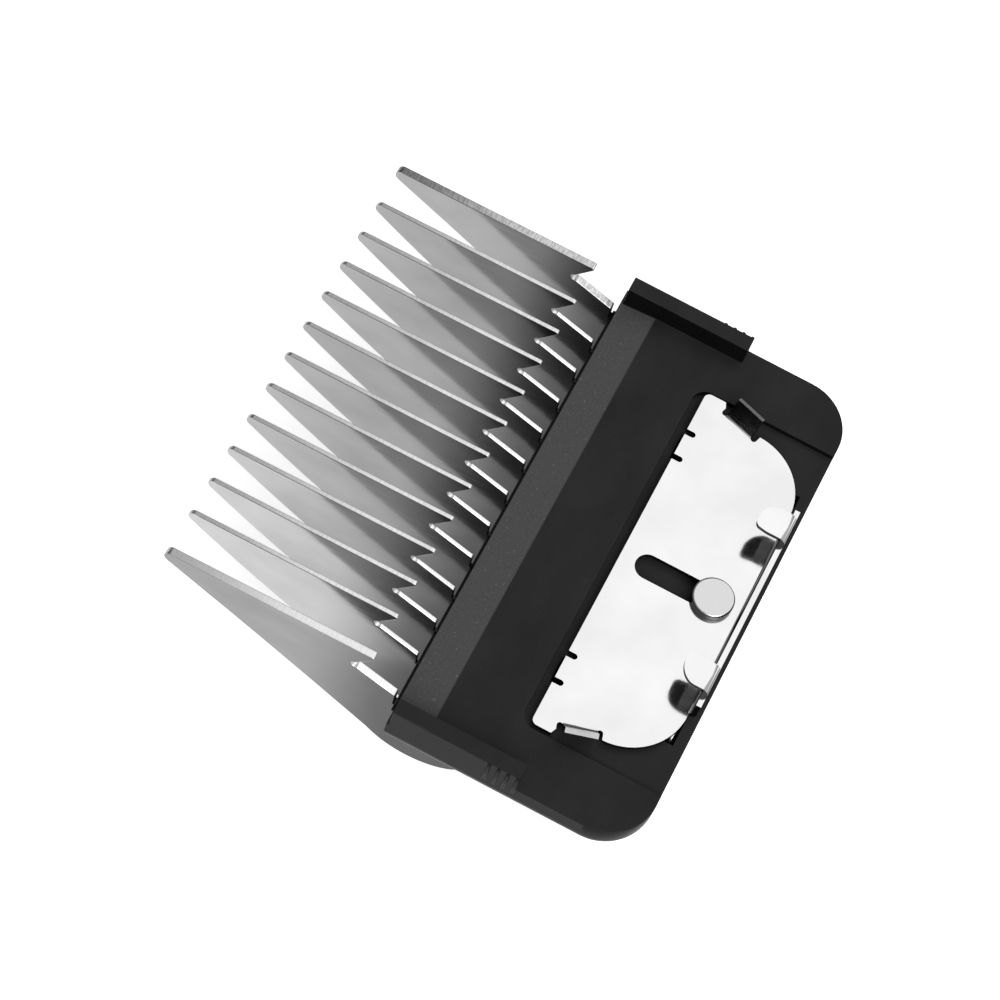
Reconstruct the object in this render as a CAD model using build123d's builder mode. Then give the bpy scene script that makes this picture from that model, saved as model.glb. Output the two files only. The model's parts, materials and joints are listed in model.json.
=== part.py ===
from build123d import *
from math import cos, radians, sin
import os

# Attachment guide comb for a detachable-blade hair clipper: a moulded tray that
# carries thirteen steel fins, and a sprung steel carriage that clamps the blade.
# X runs along the row of fins, Y runs from the fin tips to the heel of the comb,
# Z is up. The origin is under the middle of the comb, level with the fin keels.
# All sizes are in millimetres.

# ---- driving dimensions ----
FIN_COUNT = 13
FIN_PITCH = 3.75
FIN_THICKNESS = 0.45
END_FIN_THICKNESS = 0.8
END_FIN_SHIFT = 0.7

SEAT_Z = 10.5                      # top of the carriage plate over the fin keels
HALF_LENGTH = 24.7                 # fin tips to centre, and centre to heel
OVERCUT = 1.0                      # how far a cut runs past the surface it opens
ROOT = 0.5                         # how far an added feature sinks into its base

TRAY_HALF_WIDTH = 26.0
TRAY_FRONT_Y = -0.25
TRAY_TOP_Z = SEAT_Z - 0.3
TRAY_BOTTOM_Z = SEAT_Z - 4.4
TRAY_CORNER_RADIUS = 5.0
TRAY_BOTTOM_RADIUS = 2.2
BAND_REAR_Y = 3.5                  # gentle slope along the front edge of the tray
BAND_DROP = 0.35
LIP_Z = SEAT_Z - 2.0               # thin lip along the front face
LIP_HEIGHT = 0.4
LIP_REACH = 0.3
LIP_HALF_WIDTH = TRAY_HALF_WIDTH - 2.0

RECESS_FRONT_Y = 10.2
RECESS_HALF_WIDTH = 19.85
RECESS_FLOOR_Z = SEAT_Z - 0.9
RECESS_CORNER_RADIUS = 1.4

WALL_THICKNESS = 1.6
WALL_FRONT_Y = 0.0
WALL_REAR_Y = 12.8
WALL_TOP_Z = SEAT_Z + 2.2
WALL_ROOT = 1.2                    # the walls reach down past the front slope
GRIP_RIB_COUNT = 4
GRIP_RIB_PITCH = 0.95
GRIP_RIB_WIDTH = 0.35
GRIP_RIB_REACH = 0.25
GRIP_RIB_BOTTOM_Z = TRAY_TOP_Z - 0.8
GRIP_RIB_TOP_Z = WALL_TOP_Z - 0.2

SHEET = 0.5                        # sheet thickness of the carriage
PLATE_HALF_WIDTH = 19.55
PLATE_FRONT_Y = 11.15
PLATE_REAR_Y = 23.4
PLATE_CORNER_RADIUS = 0.6
NOTCH_WIDTH = 0.6
BEND_RADIUS = 0.3                  # inside radius of every fold

SPRING_X = 13.2
SPRING_RADIUS = 1.25
SPRING_WIRE = 0.32
POCKET_HALF_WIDTH = 1.4
POCKET_FRONT_Y = 10.95
POCKET_REAR_Y = 23.55
POCKET_DEPTH = 2.7

PIN_Y = 20.65
PIN_RADIUS = 1.24
PIN_CLEARANCE = 0.05
PIN_HEAD_RADIUS = 2.05
PIN_HEAD_THICKNESS = 0.75
SLOT_FRONT_Y = 12.7
WASHER_RADIUS = 2.2
WASHER_THICKNESS = 0.35

os.makedirs("parts", exist_ok=True)


# ---- fins ----
FIN_TANG_REAR_Y = 9.85             # the fins end in front of the recess
FIN_TANG_TOP_Z = TRAY_TOP_Z - 1.6
FIN_TANG_FOOT_Z = TRAY_BOTTOM_Z - 0.6
FIN_CORNER_RADIUS = 0.2
FIN_BELLY_Z = SEAT_Z - 4.05
END_FIN_BELLY_Z = SEAT_Z - 3.15


def fin_x(index):
    """Mid-plane of a fin, counted from the -X end."""
    x = (index - (FIN_COUNT + 1) / 2) * FIN_PITCH
    if index == 1:
        x -= END_FIN_SHIFT
    if index == FIN_COUNT:
        x += END_FIN_SHIFT
    return x


def fin_thickness(index):
    """The two end fins are stamped from thicker sheet."""
    if index in (1, FIN_COUNT):
        return END_FIN_THICKNESS
    return FIN_THICKNESS


def fin_belly_z(index):
    """Height of the lower edge half way along; the end fins are cut less deep."""
    if index in (1, FIN_COUNT):
        return END_FIN_BELLY_Z
    return FIN_BELLY_Z


def make_fin(index):
    """One fin: a flat stamping, its side outline drawn on its -X face."""
    tip_top = (-HALF_LENGTH + 0.55, SEAT_Z + 4.75)
    tip_nose = (-HALF_LENGTH, SEAT_Z + 4.05)
    tip_bottom = (-HALF_LENGTH + 0.45, SEAT_Z + 3.3)
    barb = (-3.42, SEAT_Z + 5.15)
    notch_upper = (-5.1, SEAT_Z + 2.65)
    notch_root = (-5.45, SEAT_Z + 2.0)
    notch_lower = (-4.85, SEAT_Z + 1.75)
    arm_end = (TRAY_FRONT_Y - 0.45, SEAT_Z + 0.1)
    arm_foot = (TRAY_FRONT_Y - 0.4, SEAT_Z - 1.6)
    tang_top = (1.25, FIN_TANG_TOP_Z)
    tang_rear = (FIN_TANG_REAR_Y, FIN_TANG_TOP_Z)
    tang_foot = (FIN_TANG_REAR_Y, FIN_TANG_FOOT_Z)
    heel = (6.55, SEAT_Z - 8.7)
    keel = (2.45, 0)
    keel_front = (-2.25, SEAT_Z - 8.9)
    belly = (-12.25, fin_belly_z(index))
    face = Plane.YZ.offset(fin_x(index) - fin_thickness(index) / 2)
    with BuildPart() as fin:
        with BuildSketch(face) as outline:
            with BuildLine():
                ThreePointArc(tip_bottom, tip_nose, tip_top)
                Line(tip_top, barb)
                Line(barb, notch_upper)
                ThreePointArc(notch_upper, notch_root, notch_lower)
                Polyline(notch_lower, arm_end, arm_foot, tang_top, tang_rear, tang_foot, heel)
                ThreePointArc(heel, keel, keel_front)
                ThreePointArc(keel_front, belly, tip_bottom)
            make_face()
            for corner in (barb, arm_end):
                fillet(outline.vertices().sort_by_distance(corner)[0], FIN_CORNER_RADIUS)
        extrude(amount=fin_thickness(index))
    fin.part.label = f"fin_{index:02d}"
    return fin.part


fins = [make_fin(index) for index in range(1, FIN_COUNT + 1)]
for fin in fins:
    export_step(fin, f"parts/{fin.label}.step")


# ---- tray: one moulding with the recess, spring pockets and end walls ----
RAIL_X = (-16.0, -9.0, 9.0, 16.0)
RAIL_WIDTH = 1.2
RAIL_FRONT_Y = 12.35
RAIL_REAR_Y = 20.05
RAIL_TOP_Z = SEAT_Z - SHEET - 0.06

with BuildPart() as tray:
    with BuildSketch(Plane.XY.offset(TRAY_BOTTOM_Z)) as plan:
        with Locations((0, TRAY_FRONT_Y)):
            Rectangle(2 * TRAY_HALF_WIDTH, HALF_LENGTH - TRAY_FRONT_Y,
                      align=(Align.CENTER, Align.MIN))
        fillet(plan.vertices().group_by(Axis.Y)[-1], TRAY_CORNER_RADIUS)
    extrude(amount=TRAY_TOP_Z - TRAY_BOTTOM_Z)
    fillet(tray.faces().sort_by(Axis.Z)[0].edges(), TRAY_BOTTOM_RADIUS)

    # gentle slope down to the front edge
    with BuildSketch(Plane.YZ.offset(-TRAY_HALF_WIDTH)):
        with BuildLine():
            Polyline((TRAY_FRONT_Y - OVERCUT, TRAY_TOP_Z + OVERCUT),
                     (BAND_REAR_Y, TRAY_TOP_Z + OVERCUT), (BAND_REAR_Y, TRAY_TOP_Z),
                     (TRAY_FRONT_Y, TRAY_TOP_Z - BAND_DROP),
                     (TRAY_FRONT_Y - OVERCUT, TRAY_TOP_Z - BAND_DROP), close=True)
        make_face()
    extrude(amount=2 * TRAY_HALF_WIDTH, mode=Mode.SUBTRACT)

    # recess for the carriage, open at the heel
    with BuildSketch(Plane.XY.offset(RECESS_FLOOR_Z)) as recess:
        with Locations((0, RECESS_FRONT_Y)):
            Rectangle(2 * RECESS_HALF_WIDTH, HALF_LENGTH, align=(Align.CENTER, Align.MIN))
        fillet(recess.vertices().group_by(Axis.Y)[0], RECESS_CORNER_RADIUS)
    extrude(amount=TRAY_TOP_Z - RECESS_FLOOR_Z + OVERCUT, mode=Mode.SUBTRACT)

    # end walls with grip ribs on their outer faces
    with BuildSketch(Plane.XY.offset(TRAY_TOP_Z - WALL_ROOT)):
        with Locations((0, (WALL_FRONT_Y + WALL_REAR_Y) / 2)):
            with GridLocations(2 * TRAY_HALF_WIDTH - WALL_THICKNESS, 1, 2, 1):
                Rectangle(WALL_THICKNESS, WALL_REAR_Y - WALL_FRONT_Y)
    extrude(amount=WALL_TOP_Z - TRAY_TOP_Z + WALL_ROOT)
    rib_y = WALL_REAR_Y - GRIP_RIB_WIDTH / 2 - (GRIP_RIB_COUNT - 1) * GRIP_RIB_PITCH / 2
    with BuildSketch(Plane.XY.offset(GRIP_RIB_BOTTOM_Z)):
        with Locations((0, rib_y)):
            with GridLocations(2 * TRAY_HALF_WIDTH, GRIP_RIB_PITCH, 2, GRIP_RIB_COUNT):
                RectangleRounded(2 * GRIP_RIB_REACH, GRIP_RIB_WIDTH, GRIP_RIB_WIDTH / 3)
    extrude(amount=GRIP_RIB_TOP_Z - GRIP_RIB_BOTTOM_Z)

    # low rails that the carriage slides on
    with BuildSketch(Plane.XY.offset(RECESS_FLOOR_Z - ROOT)):
        for x in RAIL_X:
            with Locations((x, (RAIL_FRONT_Y + RAIL_REAR_Y) / 2)):
                Rectangle(RAIL_WIDTH, RAIL_REAR_Y - RAIL_FRONT_Y)
    extrude(amount=RAIL_TOP_Z - RECESS_FLOOR_Z + ROOT)

    # spring pockets behind the front lugs of the carriage
    with BuildSketch(Plane.XY.offset(RECESS_FLOOR_Z)):
        with Locations((0, (POCKET_FRONT_Y + POCKET_REAR_Y) / 2)):
            with GridLocations(2 * SPRING_X, 1, 2, 1):
                Rectangle(2 * POCKET_HALF_WIDTH, POCKET_REAR_Y - POCKET_FRONT_Y)
    extrude(amount=-POCKET_DEPTH, mode=Mode.SUBTRACT)

    # thin lip along the front face, under the fin arms
    with BuildSketch(Plane.YZ.offset(-LIP_HALF_WIDTH)):
        with Locations((TRAY_FRONT_Y, LIP_Z)):
            Rectangle(2 * LIP_REACH, LIP_HEIGHT)
    extrude(amount=2 * LIP_HALF_WIDTH)

    # bore for the guide pin
    with BuildSketch(Plane.XY.offset(TRAY_BOTTOM_Z - OVERCUT)):
        with Locations((0, PIN_Y)):
            Circle(PIN_RADIUS)
    extrude(amount=TRAY_TOP_Z - TRAY_BOTTOM_Z + OVERCUT, mode=Mode.SUBTRACT)

    # slots that the fins are moulded into
    add(fins, mode=Mode.SUBTRACT)

tray.part.label = "tray"
export_step(tray.part, "parts/tray.step")


# ---- carriage: one bent sheet-steel piece ----
FOLD = SHEET + BEND_RADIUS         # outside radius of every fold
FRONT_LUG_HALF_WIDTH = 1.2
FRONT_LUG_BOTTOM_Z = SEAT_Z - 3.4
FRONT_FOLD_Y = 12.15
SIDE_LUG_MIDDLE = (17.63, 15.3)    # middle of its fold line
SIDE_LUG_ANGLE = 17.5
SIDE_LUG_HALF_LENGTH = 1.56
SIDE_LUG_TOP_Z = SEAT_Z + 2.0
SIDE_LUG_BEND = 62                 # the side lugs lean outwards
SIDE_NOTCH_LENGTH = 4.0
HEEL_ARC_CENTRE = (11.75, 17.4)
HEEL_ARC_RADIUS = 6.1
FLANGE_HALF_WIDTH = 11.4
FLANGE_TOP_Z = SEAT_Z + 2.15
EAR_INNER_X = 7.3
EAR_OUTER_X = 10.2
EAR_FRONT_Y = 20.95
EAR_TOP_Z = SEAT_Z + 3.3
EAR_FLARE = 0.35
EAR_FLARE_START_Y = 22.25
EAR_INNER_ROUNDING = 0.5
EAR_OUTER_ROUNDING = 1.8

SLOT_HALF_WIDTH = PIN_RADIUS + PIN_CLEARANCE
SLOT_REAR_Y = PIN_Y + SLOT_HALF_WIDTH
PLATE_BOTTOM_Z = SEAT_Z - SHEET


def folded_tab(plane, width, tip_z, bend=90, reach=ROOT):
    """Tab that leaves the plate along the plane's x and folds by bend degrees to tip_z."""
    rise = 1 if tip_z > SEAT_Z else -1
    near_z = SEAT_Z if rise > 0 else PLATE_BOTTOM_Z     # plate face inside the fold
    far_z = near_z - rise * SHEET
    turn_z = near_z + rise * BEND_RADIUS

    def on_fold(radius, angle):
        return (radius * sin(radians(angle)), turn_z - rise * radius * cos(radians(angle)))

    inner_end = on_fold(BEND_RADIUS, bend)
    outer_end = on_fold(FOLD, bend)
    length = (tip_z - inner_end[1]) / (rise * sin(radians(bend)))
    along = (length * cos(radians(bend)), tip_z - inner_end[1])
    with BuildSketch(plane) as section:
        with BuildLine():
            Polyline((-reach, near_z), (-reach, far_z), (0, far_z))
            ThreePointArc((0, far_z), on_fold(FOLD, bend / 2), outer_end)
            Polyline(outer_end, (outer_end[0] + along[0], outer_end[1] + along[1]),
                     (inner_end[0] + along[0], inner_end[1] + along[1]), inner_end)
            ThreePointArc(inner_end, on_fold(BEND_RADIUS, bend / 2), (0, near_z))
            Line((0, near_z), (-reach, near_z))
        make_face()
    return extrude(section.sketch, amount=width)


def side_lug_plane(side, along):
    """Upright plane across a side lug: x points outwards, origin on the fold line."""
    angle = radians(SIDE_LUG_ANGLE)
    outwards = (side * cos(angle), sin(angle), 0)
    backwards = (-side * sin(angle), cos(angle), 0)
    origin = (side * SIDE_LUG_MIDDLE[0] + along * backwards[0],
              SIDE_LUG_MIDDLE[1] + along * backwards[1], 0)
    normal = Vector(*outwards).cross(Vector(0, 0, 1))
    return Plane(origin=origin, x_dir=outwards, z_dir=normal)


tabs = []
for side in (-1, 1):
    front_x = side * SPRING_X + FRONT_LUG_HALF_WIDTH
    front_plane = Plane(origin=(front_x, FRONT_FOLD_Y, 0), x_dir=(0, -1, 0), z_dir=(-1, 0, 0))
    tabs.append(folded_tab(front_plane, 2 * FRONT_LUG_HALF_WIDTH, FRONT_LUG_BOTTOM_Z))
    start = SIDE_LUG_HALF_LENGTH * side
    tabs.append(folded_tab(side_lug_plane(side, start), 2 * SIDE_LUG_HALF_LENGTH,
                           SIDE_LUG_TOP_Z, bend=SIDE_LUG_BEND))
flange_plane = Plane(origin=(-FLANGE_HALF_WIDTH, PLATE_REAR_Y, 0), x_dir=(0, 1, 0),
                     z_dir=(1, 0, 0))
tabs.append(folded_tab(flange_plane, 2 * FLANGE_HALF_WIDTH, FLANGE_TOP_Z))


def ear(x_start):
    """Hook that rises from the flange, folds forwards and flares up at its tip."""
    rear_y = PLATE_REAR_Y + FOLD
    turn_y = PLATE_REAR_Y
    turn_z = EAR_TOP_Z - FOLD
    inner = BEND_RADIUS * sin(radians(45))
    outer = FOLD * sin(radians(45))
    under_z = EAR_TOP_Z - SHEET
    with BuildSketch(Plane.YZ.offset(x_start)) as section:
        with BuildLine():
            Polyline((turn_y + BEND_RADIUS, FLANGE_TOP_Z - ROOT),
                     (rear_y, FLANGE_TOP_Z - ROOT), (rear_y, turn_z))
            ThreePointArc((rear_y, turn_z), (turn_y + outer, turn_z + outer),
                          (turn_y, EAR_TOP_Z))
            Polyline((turn_y, EAR_TOP_Z), (EAR_FLARE_START_Y, EAR_TOP_Z),
                     (EAR_FRONT_Y, EAR_TOP_Z + EAR_FLARE), (EAR_FRONT_Y, under_z + EAR_FLARE),
                     (EAR_FLARE_START_Y, under_z), (turn_y, under_z))
            ThreePointArc((turn_y, under_z), (turn_y + inner, turn_z + inner),
                          (turn_y + BEND_RADIUS, turn_z))
            Line((turn_y + BEND_RADIUS, turn_z), (turn_y + BEND_RADIUS, FLANGE_TOP_Z - ROOT))
        make_face()
    return extrude(section.sketch, amount=EAR_OUTER_X - EAR_INNER_X)


ears = [ear(EAR_INNER_X), ear(-EAR_OUTER_X)]

with BuildPart() as carriage:
    # flat plate with rounded heel corners
    with BuildSketch(Plane.XY.offset(PLATE_BOTTOM_Z)):
        with BuildLine():
            arc_start = (HEEL_ARC_CENTRE[0] + HEEL_ARC_RADIUS, HEEL_ARC_CENTRE[1])
            arc_middle = (HEEL_ARC_CENTRE[0] + HEEL_ARC_RADIUS * cos(radians(45)),
                          HEEL_ARC_CENTRE[1] + HEEL_ARC_RADIUS * sin(radians(45)))
            arc_end = (HEEL_ARC_CENTRE[0], HEEL_ARC_CENTRE[1] + HEEL_ARC_RADIUS)
            lug_front = side_lug_plane(1, -SIDE_LUG_HALF_LENGTH).origin
            lug_rear = side_lug_plane(1, SIDE_LUG_HALF_LENGTH).origin
            Polyline((0, PLATE_FRONT_Y), (PLATE_HALF_WIDTH, PLATE_FRONT_Y),
                     (PLATE_HALF_WIDTH, lug_front.Y - NOTCH_WIDTH),
                     (lug_front.X, lug_front.Y), (lug_rear.X, lug_rear.Y), arc_start)
            ThreePointArc(arc_start, arc_middle, arc_end)
            Polyline(arc_end, (FLANGE_HALF_WIDTH, arc_end[1]),
                     (FLANGE_HALF_WIDTH, PLATE_REAR_Y), (0, PLATE_REAR_Y))
            mirror(about=Plane.YZ)
        make_face()
    extrude(amount=SHEET)
    corners = carriage.edges().filter_by(Axis.Z).group_by(Axis.Y)[0]
    fillet(corners, PLATE_CORNER_RADIUS)

    # relief notches at both ends of every lug, round at their inner ends
    with BuildSketch(Plane.XY.offset(PLATE_BOTTOM_Z)):
        for side in (-1, 1):
            for end in (-1, 1):
                offset = end * (FRONT_LUG_HALF_WIDTH + NOTCH_WIDTH / 2)
                with Locations((side * SPRING_X + offset, PLATE_FRONT_Y)):
                    SlotOverall(2 * (FRONT_FOLD_Y - PLATE_FRONT_Y), NOTCH_WIDTH, rotation=90)
                notch = side_lug_plane(side, end * (SIDE_LUG_HALF_LENGTH + NOTCH_WIDTH / 2))
                with Locations(Location(notch.origin, (0, 0, side * SIDE_LUG_ANGLE))):
                    with Locations((side * SIDE_NOTCH_LENGTH / 2, 0)):
                        SlotOverall(SIDE_NOTCH_LENGTH, NOTCH_WIDTH)
        # slot that runs along the guide pin
        with Locations((0, (SLOT_FRONT_Y + SLOT_REAR_Y) / 2)):
            SlotOverall(SLOT_REAR_Y - SLOT_FRONT_Y, 2 * SLOT_HALF_WIDTH, rotation=90)
    extrude(amount=SHEET, mode=Mode.SUBTRACT)

    add(tabs)
    add(ears)
    for place, rounding in ((0, EAR_INNER_ROUNDING), (-1, EAR_OUTER_ROUNDING)):
        tips = carriage.edges().filter_by_position(Axis.Y, EAR_FRONT_Y, EAR_FRONT_Y)
        tips = tips.filter_by(Axis.X, reverse=True)
        fillet(tips.group_by(lambda tip: abs(tip.center().X))[place], rounding)
carriage.part.label = "spring_carriage"
export_step(carriage.part, "parts/spring_carriage.step")


# ---- guide pin and the washer it is riveted over ----
HEAD_BOTTOM_Z = SEAT_Z + 0.05
RIVET_RADIUS = 1.75
RIVET_HEIGHT = 0.4
RIVET_ROUNDING = 0.32
WASHER_BOTTOM_Z = TRAY_BOTTOM_Z - WASHER_THICKNESS
PIN_HEAD_ROUNDING = 0.2

with BuildPart() as pin:
    with BuildSketch(Plane.XY.offset(WASHER_BOTTOM_Z)):
        with Locations((0, PIN_Y)):
            Circle(PIN_RADIUS)
    extrude(amount=HEAD_BOTTOM_Z - WASHER_BOTTOM_Z)
    with BuildSketch(Plane.XY.offset(HEAD_BOTTOM_Z)):
        with Locations((0, PIN_Y)):
            Circle(PIN_HEAD_RADIUS)
    extrude(amount=PIN_HEAD_THICKNESS)
    fillet(pin.edges().sort_by(Axis.Z)[-1], PIN_HEAD_ROUNDING)
    with BuildSketch(Plane.XY.offset(WASHER_BOTTOM_Z)):
        with Locations((0, PIN_Y)):
            Circle(RIVET_RADIUS)
    extrude(amount=-RIVET_HEIGHT)
    fillet(pin.edges().sort_by(Axis.Z)[0], RIVET_ROUNDING)
pin.part.label = "guide_pin"
export_step(pin.part, "parts/guide_pin.step")

with BuildPart() as washer:
    with BuildSketch(Plane.XY.offset(WASHER_BOTTOM_Z)):
        with Locations((0, PIN_Y)):
            Circle(WASHER_RADIUS)
            Circle(PIN_RADIUS, mode=Mode.SUBTRACT)
    extrude(amount=WASHER_THICKNESS)
washer.part.label = "pin_washer"
export_step(washer.part, "parts/pin_washer.step")


# ---- springs: each as the sleeve its coils fill ----
SPRING_FRONT_Y = FRONT_FOLD_Y - BEND_RADIUS
SPRING_Z = RECESS_FLOOR_Z - POCKET_DEPTH / 2

for side, word in ((-1, "left"), (1, "right")):
    with BuildPart() as spring:
        with BuildSketch(Plane.XZ.offset(-SPRING_FRONT_Y)):
            with Locations((side * SPRING_X, SPRING_Z)):
                Circle(SPRING_RADIUS)
                Circle(SPRING_RADIUS - SPRING_WIRE, mode=Mode.SUBTRACT)
        extrude(amount=SPRING_FRONT_Y - POCKET_REAR_Y)
    spring.part.label = f"spring_{word}"
    export_step(spring.part, f"parts/spring_{word}.step")
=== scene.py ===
import json
import math

import bmesh
import bpy
from mathutils import Matrix, Vector


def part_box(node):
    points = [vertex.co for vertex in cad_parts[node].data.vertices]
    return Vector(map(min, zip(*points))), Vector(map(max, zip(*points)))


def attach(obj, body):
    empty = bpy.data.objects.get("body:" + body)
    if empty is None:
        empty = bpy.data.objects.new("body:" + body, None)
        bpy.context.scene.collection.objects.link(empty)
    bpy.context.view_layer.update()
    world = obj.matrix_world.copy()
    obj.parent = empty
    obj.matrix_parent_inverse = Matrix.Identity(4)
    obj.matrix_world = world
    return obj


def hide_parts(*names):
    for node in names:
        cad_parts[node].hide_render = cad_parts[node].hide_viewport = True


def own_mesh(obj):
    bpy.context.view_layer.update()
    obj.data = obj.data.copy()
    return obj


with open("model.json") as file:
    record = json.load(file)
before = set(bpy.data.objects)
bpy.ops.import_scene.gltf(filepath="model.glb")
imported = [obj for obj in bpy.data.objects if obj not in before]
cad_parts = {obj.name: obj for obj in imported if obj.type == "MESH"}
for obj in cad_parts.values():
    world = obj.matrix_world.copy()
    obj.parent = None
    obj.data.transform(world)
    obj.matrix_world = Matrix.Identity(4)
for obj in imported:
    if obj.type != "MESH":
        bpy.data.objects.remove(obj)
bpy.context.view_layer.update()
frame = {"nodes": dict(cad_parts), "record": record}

# Attachment guide comb for a detachable-blade clipper: black moulded tray, thirteen
# steel fins, sprung polished carriage. Lengths are in metres; MM turns millimetres
# into metres.
MM = 0.001
FINS = [f"fin_{index:02d}" for index in range(1, 14)]
SPRINGS = ("spring_left", "spring_right")
BAND_REAR = 3.5 * MM               # rear edge of the tray's sloped front band


# ---------------------------------------------------------------- shader helpers
class Shader:
    """A principled material whose colour, roughness and bump come from its nodes."""

    def __init__(self, name, metallic):
        self.material = bpy.data.materials.new(name)
        self.material.use_nodes = True
        self.tree = self.material.node_tree
        self.bsdf = self.tree.nodes["Principled BSDF"]
        self.bsdf.inputs["Metallic"].default_value = metallic
        self.place = self.add("ShaderNodeTexCoord").outputs["Object"]
        self.normal = None

    def add(self, kind, inputs=None, **settings):
        """One node, with its settings and the values or links of its inputs."""
        made = self.tree.nodes.new(kind)
        for key, value in settings.items():
            setattr(made, key, value)
        for key, value in (inputs or {}).items():
            if isinstance(value, bpy.types.NodeSocket):
                self.tree.links.new(value, made.inputs[key])
            else:
                made.inputs[key].default_value = value
        return made

    def stretched(self, per_mm):
        """Object coordinates multiplied so that one unit is 1 / per_mm millimetres."""
        scale = [value / MM for value in per_mm]
        made = self.add("ShaderNodeMapping", {"Vector": self.place, "Scale": scale})
        return made.outputs["Vector"]

    def noise(self, per_mm, detail=3.0, roughness=0.55):
        """Noise with per_mm features a millimetre along each axis, 0 to 1."""
        made = self.add("ShaderNodeTexNoise", {
            "Vector": self.stretched(per_mm), "Scale": 1.0, "Detail": detail,
            "Roughness": roughness})
        return made.outputs["Fac"]

    def remap(self, value, low, high, start=0.0, end=1.0, smooth=False):
        """The value carried from low..high to start..end, held at both ends."""
        made = self.add("ShaderNodeMapRange", {
            "Value": value, "From Min": low, "From Max": high,
            "To Min": start, "To Max": end}, clamp=True,
            interpolation_type="SMOOTHSTEP" if smooth else "LINEAR")
        return made.outputs["Result"]

    def math(self, operation, first, second=0.0):
        """One arithmetic step on two values."""
        made = self.add("ShaderNodeMath", {0: first, 1: second}, operation=operation)
        return made.outputs[0]

    def mix(self, factor, first, second):
        """A colour between the first and the second."""
        made = self.add("ShaderNodeMix", data_type="RGBA")
        for socket, value in ((made.inputs[0], factor), (made.inputs[6], first),
                              (made.inputs[7], second)):
            if isinstance(value, bpy.types.NodeSocket):
                self.tree.links.new(value, socket)
            elif isinstance(value, tuple):
                socket.default_value = (*value, 1.0)
            else:
                socket.default_value = value
        return made.outputs[2]

    def multiply(self, first, second):
        """The product of two colours."""
        made = self.add("ShaderNodeMix", data_type="RGBA", blend_type="MULTIPLY")
        made.inputs[0].default_value = 1.0
        self.tree.links.new(first, made.inputs[6])
        self.tree.links.new(second, made.inputs[7])
        return made.outputs[2]

    def place_along(self, axis):
        """The distance from the frame's origin along one axis, in metres."""
        return self.add("ShaderNodeSeparateXYZ", {"Vector": self.place}).outputs[axis]

    def grey(self, level):
        """A colour whose three channels are the level."""
        return self.add("ShaderNodeCombineColor", {0: level, 1: level, 2: level}).outputs[0]

    def bump(self, height, strength, distance_mm):
        """Fine relief on top of any relief that is already there."""
        inputs = {"Height": height, "Strength": strength, "Distance": distance_mm * MM}
        if self.normal is not None:
            inputs["Normal"] = self.normal
        self.normal = self.add("ShaderNodeBump", inputs).outputs["Normal"]

    def finish(self, color, roughness):
        """Links the colour, the roughness and the relief, and returns the material."""
        self.tree.links.new(color, self.bsdf.inputs["Base Color"])
        self.tree.links.new(roughness, self.bsdf.inputs["Roughness"])
        if self.normal is not None:
            self.tree.links.new(self.normal, self.bsdf.inputs["Normal"])
        return self.material


def facing(shader, axis):
    """How squarely the surface faces along one axis of the frame, 0 to 1."""
    normal = shader.add("ShaderNodeNewGeometry").outputs["True Normal"]
    parts = shader.add("ShaderNodeSeparateXYZ", {"Vector": normal})
    return shader.math("ABSOLUTE", parts.outputs[axis])


# ---------------------------------------------------------------- materials
def fin_steel(name, face_tones, edge_dark, edge_bright, hatch_low):
    """Rolled stainless sheet: soft streaks on the faces, ground striations on the cut edges.

    The faces lie between the two face_tones, with painted shade darkening them towards the
    moulding. The cut edges run from edge_dark at the tips to edge_bright at the barbs, a
    painted highlight, and painted shade turns them nearly black at the moulding's gap.
    """
    shader = Shader(name, 1.0)
    streaks = shader.noise((0.25, 0.12, 3.5), detail=4.0)
    clouds = shader.noise((0.2, 0.12, 0.2), detail=2.0)
    grinding = shader.noise((1.5, 8.0, 0.8), detail=2.0)
    edge = shader.remap(facing(shader, "X"), 0.35, 0.75, 1.0, 0.0)
    along = shader.place_along("Y")
    # Painted highlight: the cut edges brighten from edge_dark at the tips to edge_bright at the barbs.
    painted_barb_highlight = shader.remap(along, -24.0 * MM, -9.0 * MM, smooth=True)
    face_color = shader.mix(shader.remap(clouds, 0.3, 0.7), *[(tone,) * 3 for tone in face_tones])
    # Painted shade: the faces darken towards the moulding, along a cloudy slanted edge.
    slant = shader.math("ADD", along, shader.math("MULTIPLY", clouds, 5.0 * MM))
    painted_root_shade = shader.remap(slant, -8.5 * MM, 2.0 * MM, 1.0, 0.22, smooth=True)
    face_color = shader.multiply(face_color, shader.grey(painted_root_shade))
    edge_tone = shader.mix(painted_barb_highlight, (edge_dark,) * 3, (edge_bright,) * 3)
    hatch = shader.remap(grinding, 0.38, 0.62, hatch_low, 1.0)
    # Painted shade: the cut edges' striations turn almost black where the fins reach the moulding's
    # gap.
    painted_gap_shade = shader.remap(along, -0.85 * MM, -0.72 * MM, 1.0, 0.04)
    hatch = shader.math("MULTIPLY", hatch, painted_gap_shade)
    color = shader.mix(edge, face_color, shader.multiply(edge_tone, shader.grey(hatch)))
    face_rough = shader.remap(streaks, 0.3, 0.7, 0.07, 0.15)
    edge_rough = shader.remap(grinding, 0.3, 0.7, 0.30, 0.48)
    swap = shader.add("ShaderNodeMix", {0: edge, 2: face_rough, 3: edge_rough}, data_type="FLOAT")
    shader.bump(streaks, 0.05, 0.02)
    shader.bump(shader.math("MULTIPLY", grinding, edge), 0.35, 0.03)
    return shader.finish(color, swap.outputs[0])


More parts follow.
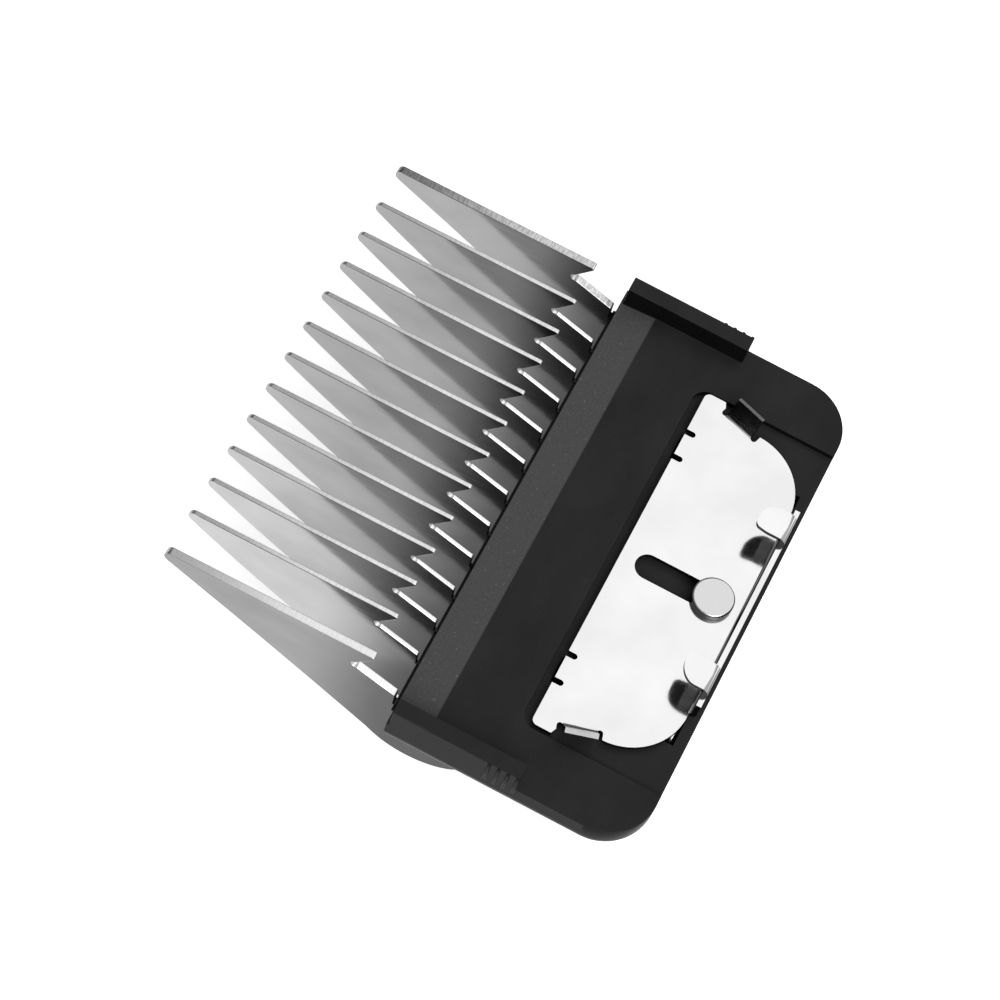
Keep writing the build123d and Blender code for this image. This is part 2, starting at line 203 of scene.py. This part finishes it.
def carriage_steel():
    """Sheet polished on its upper side; the underside and upturned faces are painted dark, standing in
    for the dark reflections they show.
    """
    shader = Shader("carriage_steel", 1.0)
    lines = shader.noise((0.06, 6.0, 6.0), detail=3.0)
    scuffs = shader.noise((0.9, 0.9, 0.9), detail=6.0, roughness=0.7)
    patches = shader.noise((0.16, 0.16, 0.16), detail=2.0)
    normal = shader.add("ShaderNodeNewGeometry").outputs["True Normal"]
    upward = shader.add("ShaderNodeSeparateXYZ", {"Vector": normal}).outputs["Z"]
    # Painted reflection: faces that face up keep the bright steel, and all others take a painted dark
    # tone in place of the dark reflections they show.
    polished = shader.remap(upward, 0.55, 0.72)
    bright = shader.mix(shader.remap(patches, 0.3, 0.7), (0.66, 0.66, 0.66), (0.73, 0.73, 0.728))
    painted_dark_reflection = shader.mix(shader.remap(scuffs, 0.3, 0.7), (0.06, 0.06, 0.06), (0.12, 0.12, 0.118))
    # Painted shade: the upturned lug beyond x 17 mm and above z 11.9 mm also takes the dark tone,
    # dulling its reflection of the key light.
    past_plate = shader.remap(shader.place_along("X"), 17.0 * MM, 17.4 * MM, 0.0, 0.95)
    above_plate = shader.remap(shader.place_along("Z"), 11.9 * MM, 12.1 * MM)
    painted_lug_shade = shader.math("MULTIPLY", past_plate, above_plate)
    color = shader.mix(painted_lug_shade, shader.mix(polished, painted_dark_reflection, bright), painted_dark_reflection)
    rough = shader.remap(scuffs, 0.35, 0.75, 0.08, 0.16)
    shader.bump(lines, 0.06, 0.01)
    return shader.finish(color, rough)


def pin_steel():
    """Turned steel: fine rings round the pin's axis; the sides are painted dark as shade."""
    shader = Shader("pin_steel", 1.0)
    low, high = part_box("guide_pin")
    centre = ((low.x + high.x) / 2, (low.y + high.y) / 2, 0.0)
    moved = shader.add("ShaderNodeVectorMath", {0: shader.place, 1: centre}, operation="SUBTRACT")
    flat = shader.add("ShaderNodeVectorMath", {0: moved.outputs[0], 1: (1.0, 1.0, 0.0)},
                      operation="MULTIPLY")
    radius = shader.add("ShaderNodeVectorMath", {0: flat.outputs[0]}, operation="LENGTH")
    rings = shader.math("SINE", shader.math("MULTIPLY", radius.outputs["Value"], 42.0 / MM))
    grain = shader.noise((1.2, 1.2, 1.2), detail=4.0)
    head = shader.mix(shader.remap(grain, 0.3, 0.7), (0.58, 0.58, 0.58), (0.63, 0.63, 0.628))
    # Painted shade: faces that do not face up are painted near-black.
    side = shader.remap(facing(shader, "Z"), 0.4, 0.8, 1.0, 0.0)
    color = shader.mix(side, head, (0.10, 0.10, 0.10))
    rough = shader.remap(grain, 0.3, 0.7, 0.24, 0.32)
    shader.bump(rings, 0.02, 0.01)
    return shader.finish(color, rough)


def spring_wire():
    """Drawn wire: darker steel with lengthwise draw marks."""
    shader = Shader("spring_steel", 1.0)
    marks = shader.noise((3.0, 3.0, 3.0), detail=4.0)
    color = shader.mix(shader.remap(marks, 0.3, 0.7), (0.42, 0.42, 0.42), (0.58, 0.58, 0.575))
    rough = shader.remap(marks, 0.3, 0.7, 0.22, 0.36)
    shader.bump(marks, 0.1, 0.01)
    return shader.finish(color, rough)


def tray_plastic():
    """Black moulded plastic: satin grain, faint flow clouds, painted shade on faces that do not face
    up, and a rougher, grained front band whose paler colour is partly its own and partly a painted
    reflection.
    """
    shader = Shader("tray_plastic", 0.0)
    grain = shader.noise((6.0, 6.0, 6.0), detail=3.0, roughness=0.6)
    flow = shader.noise((0.12, 0.2, 0.2), detail=3.0)
    specks = shader.noise((2.6, 2.6, 2.6), detail=1.0)
    along = shader.place_along("Y")
    up = facing(shader, "Z")
    sloped = shader.remap(along, BAND_REAR - 0.15 * MM, BAND_REAR + 0.15 * MM, 1.0, 0.0)
    band = shader.math("MULTIPLY", sloped, shader.remap(up, 0.9, 0.985))
    band = shader.math("MULTIPLY", band, shader.remap(up, 0.9965, 0.9985, 1.0, 0.0))
    base = shader.mix(shader.remap(flow, 0.3, 0.7), (0.019, 0.019, 0.0192), (0.026, 0.026, 0.0262))
    # The front band's paler colour is partly its own and partly a painted reflection of the light its
    # slope catches.
    band_texture_and_reflection = shader.mix(shader.remap(grain, 0.3, 0.7), (0.066, 0.066, 0.0665), (0.088, 0.088, 0.0885))
    color = shader.mix(band, base, band_texture_and_reflection)
    # Painted shade: faces that do not face up are darkened, down to 0.3 on walls and sides.
    shade = shader.remap(up, 0.2, 0.7, 0.3, 1.0)
    color = shader.multiply(color, shader.grey(shade))
    pale = shader.math("MULTIPLY", shader.remap(specks, 0.68, 0.78, 0.0, 0.5),
                       shader.remap(band, 0.0, 1.0, 0.08, 1.0))
    color = shader.mix(pale, color, (0.17, 0.17, 0.17))
    shader.bsdf.inputs["Specular IOR Level"].default_value = 0.04
    rough = shader.remap(flow, 0.3, 0.7, 0.26, 0.34)
    rough = shader.math("ADD", rough, shader.math("MULTIPLY", band, 0.30))
    shader.bump(grain, 0.15, 0.02)
    return shader.finish(color, rough)


MATERIALS = {
    "fin_steel": fin_steel("fin_steel", (0.38, 0.46), 0.50, 0.98, 0.80),
    "carriage_steel": carriage_steel(),
    "pin_steel": pin_steel(),
    "spring_steel": spring_wire(),
    "tray_plastic": tray_plastic(),
}
# Lit and shaded copies of the fin steel: the last fin's faces are painted darker as shade, and the
# first fin's cut edges are painted darker along their length.
END_FIN_SHADED_STEEL = {
    FINS[0]: fin_steel("first_fin_steel", (0.38, 0.46), 0.30, 0.85, 0.58),
    FINS[-1]: fin_steel("last_fin_steel", (0.21, 0.27), 0.55, 0.98, 0.85),
}
SLOT_OF = {part["node"]: part["material_slot"] for part in frame["record"]["subparts"]}


def material_of(node):
    """The node's finished material; the two end fins have lit and shaded copies of the steel."""
    return END_FIN_SHADED_STEEL.get(node, MATERIALS[SLOT_OF[node]])


def dress(node):
    """Gives a carried-over CAD node its finished material."""
    piece = frame["nodes"][node]
    piece.data.materials.clear()
    piece.data.materials.append(material_of(node))


for node in frame["nodes"]:
    dress(node)


# ---------------------------------------------------------------- refined pieces
EASED_ANGLE = 30.0                 # edges sharper than this are eased
MERGE_DISTANCE = 0.0005 * MM
FLAT_ANGLE = 0.5                   # triangles closer than this become one face
SMOOTH_ANGLE = 35.0


def refined(node, name, body, edge_mm):
    """The CAD node's own shape with its sharp edges eased, standing for the node."""
    mesh = frame["nodes"][node].data.copy()
    cleaned = bmesh.new()
    cleaned.from_mesh(mesh)
    bmesh.ops.remove_doubles(cleaned, verts=cleaned.verts, dist=MERGE_DISTANCE)
    bmesh.ops.dissolve_limit(cleaned, angle_limit=math.radians(FLAT_ANGLE), verts=cleaned.verts,
                             edges=cleaned.edges)
    cleaned.to_mesh(mesh)
    cleaned.free()
    piece = bpy.data.objects.new(name, mesh)
    bpy.context.scene.collection.objects.link(piece)
    bevel = piece.modifiers.new("eased_edges", "BEVEL")
    bevel.width = edge_mm * MM
    bevel.segments = 2
    bevel.limit_method = "ANGLE"
    bevel.angle_limit = math.radians(EASED_ANGLE)
    bevel.use_clamp_overlap = True
    bevel.harden_normals = False
    mesh.materials.clear()
    mesh.materials.append(material_of(node))
    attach(piece, body)
    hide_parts(node)
    return piece


def shade_by_angle(piece):
    """Smooth shading that keeps sharp edges crisp."""
    bpy.ops.object.select_all(action="DESELECT")
    piece.select_set(True)
    bpy.context.view_layer.objects.active = piece
    bpy.ops.object.shade_auto_smooth(angle=math.radians(SMOOTH_ANGLE))


for node in FINS:
    shade_by_angle(refined(node, node.replace("fin", "steel_fin"), "comb", 0.07))
shade_by_angle(refined("tray", "moulded_tray", "comb", 0.12))
shade_by_angle(refined("spring_carriage", "pressed_carriage", "carriage", 0.07))


SPRING_WIRE_RADIUS = 0.16 * MM
SPRING_TURNS = 11
CLOSED_TURNS = 1.5                 # touching turns at each end
STEPS_PER_TURN = 28


def coil_spring(node, name):
    """Helical compression spring with closed end coils, filling the CAD sleeve."""
    low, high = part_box(node)
    wire = SPRING_WIRE_RADIUS
    radius = (high.x - low.x) / 2 - wire
    length = high.y - low.y - 2 * wire
    curve = bpy.data.curves.new(name, "CURVE")
    curve.dimensions = "3D"
    curve.bevel_depth = wire
    curve.bevel_resolution = 3
    spline = curve.splines.new("POLY")
    count = SPRING_TURNS * STEPS_PER_TURN + 1
    spline.points.add(count - 1)
    pitch_closed = 2 * wire
    open_turns = SPRING_TURNS - 2 * CLOSED_TURNS
    open_pitch = (length - 2 * CLOSED_TURNS * pitch_closed) / open_turns
    centre_x = (low.x + high.x) / 2
    centre_z = (low.z + high.z) / 2
    for index in range(count):
        turn = index / STEPS_PER_TURN
        travelled = min(turn, CLOSED_TURNS) * pitch_closed
        travelled += min(max(turn - CLOSED_TURNS, 0), open_turns) * open_pitch
        travelled += max(turn - CLOSED_TURNS - open_turns, 0) * pitch_closed
        angle = turn * 2 * math.pi
        spline.points[index].co = (centre_x + radius * math.cos(angle), low.y + wire + travelled,
                                   centre_z + radius * math.sin(angle), 1)
    wound = bpy.data.objects.new(name + "_curve", curve)
    bpy.context.scene.collection.objects.link(wound)
    mesh = bpy.data.meshes.new_from_object(wound.evaluated_get(
        bpy.context.evaluated_depsgraph_get()))
    bpy.data.objects.remove(wound)
    piece = bpy.data.objects.new(name, mesh)
    bpy.context.scene.collection.objects.link(piece)
    for face in mesh.polygons:
        face.use_smooth = True
    mesh.materials.clear()
    mesh.materials.append(MATERIALS["spring_steel"])
    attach(piece, "comb")
    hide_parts(node)
    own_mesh(piece)


for node in SPRINGS:
    coil_spring(node, node.replace("spring", "coil"))


# ---------------------------------------------------------------- stage and light
FLOOR_GLOW = 0.6                   # the table is a backlit sheet, so shadows stay faint
FLOOR_REACH = 3.0


def stage_floor():
    """Plain pale table under the keels of the fins."""
    mesh = bpy.data.meshes.new("table_top")
    corners = [(-FLOOR_REACH, -FLOOR_REACH, 0), (FLOOR_REACH, -FLOOR_REACH, 0),
               (FLOOR_REACH, FLOOR_REACH, 0), (-FLOOR_REACH, FLOOR_REACH, 0)]
    mesh.from_pydata(corners, [], [(0, 1, 2, 3)])
    floor = bpy.data.objects.new("table_top", mesh)
    bpy.context.scene.collection.objects.link(floor)
    shader = Shader("pale_paper", 0.0)
    fibres = shader.noise((0.6, 0.6, 0.6), detail=3.0)
    color = shader.mix(shader.remap(fibres, 0.3, 0.7), (0.90, 0.90, 0.90), (0.93, 0.93, 0.93))
    shader.bsdf.inputs["Emission Color"].default_value = (1.0, 1.0, 1.0, 1.0)
    shader.bsdf.inputs["Emission Strength"].default_value = FLOOR_GLOW
    mesh.materials.append(shader.finish(color, shader.remap(fibres, 0.3, 0.7, 0.7, 0.8)))


def area_light(name, direction, distance, width, height, power):
    """A rectangular soft box at a distance in a direction from the part, facing it."""
    data = bpy.data.lights.new(name, "AREA")
    data.shape = "RECTANGLE"
    data.size = width
    data.size_y = height
    data.energy = power
    light = bpy.data.objects.new(name, data)
    outwards = Vector(direction).normalized()
    light.location = outwards * distance
    light.rotation_euler = outwards.to_track_quat("Z", "Y").to_euler()
    bpy.context.scene.collection.objects.link(light)


DOME_LEAN = (0.1, 0.6, 0.8)        # the dome is brightest this way
DOME_LEVELS = (("From Min", 0.3), ("From Max", 0.62), ("To Min", 0.18), ("To Max", 0.55))


def studio():
    """A dome that is brightest above and behind the heel and dimmer round the horizon, two boxes."""
    world = bpy.data.worlds.new("studio")
    bpy.context.scene.world = world
    world.use_nodes = True
    tree = world.node_tree
    dome = tree.nodes["Background"]
    dome.inputs["Color"].default_value = (1, 1, 1, 1)
    sky = tree.nodes.new("ShaderNodeTexCoord")
    lean = tree.nodes.new("ShaderNodeVectorMath")
    lean.operation = "DOT_PRODUCT"
    lean.inputs[1].default_value = DOME_LEAN
    ramp = tree.nodes.new("ShaderNodeMapRange")
    ramp.interpolation_type = "SMOOTHSTEP"
    for socket, value in DOME_LEVELS:
        ramp.inputs[socket].default_value = value
    tree.links.new(sky.outputs["Generated"], lean.inputs[0])
    tree.links.new(lean.outputs["Value"], ramp.inputs["Value"])
    tree.links.new(ramp.outputs["Result"], dome.inputs["Strength"])
    area_light("overhead", (-0.46, 0.28, 0.84), 0.8, 0.75, 0.85, 1.5)
    area_light("key", (0.50, 0.55, 0.67), 0.9, 0.6, 0.6, 5.0)


stage_floor()
studio()


# ---------------------------------------------------------------- camera
CAMERA_PLACE = Vector((157.21, 17.86, 310.87)) * MM
LOOK_AT = Vector((0.95, -1.07, 10.5)) * MM
PICTURE_UP = Vector((-0.7747, -0.4616, 0.4321))
LENS_MM = 131.5


def camera():
    """A long lens at the part's usual product angle."""
    data = bpy.data.cameras.new("camera")
    data.lens = LENS_MM
    data.sensor_width = 36.0
    data.clip_start = 0.01
    data.clip_end = 20.0
    back = (CAMERA_PLACE - LOOK_AT).normalized()
    right = PICTURE_UP.cross(back).normalized()
    up = back.cross(right)
    made = bpy.data.objects.new("camera", data)
    made.matrix_world = Matrix.Translation(CAMERA_PLACE) @ Matrix(
        (right, up, back)).transposed().to_4x4()
    bpy.context.scene.collection.objects.link(made)
    bpy.context.scene.camera = made


camera()
bpy.context.scene.view_settings.view_transform = "Standard"
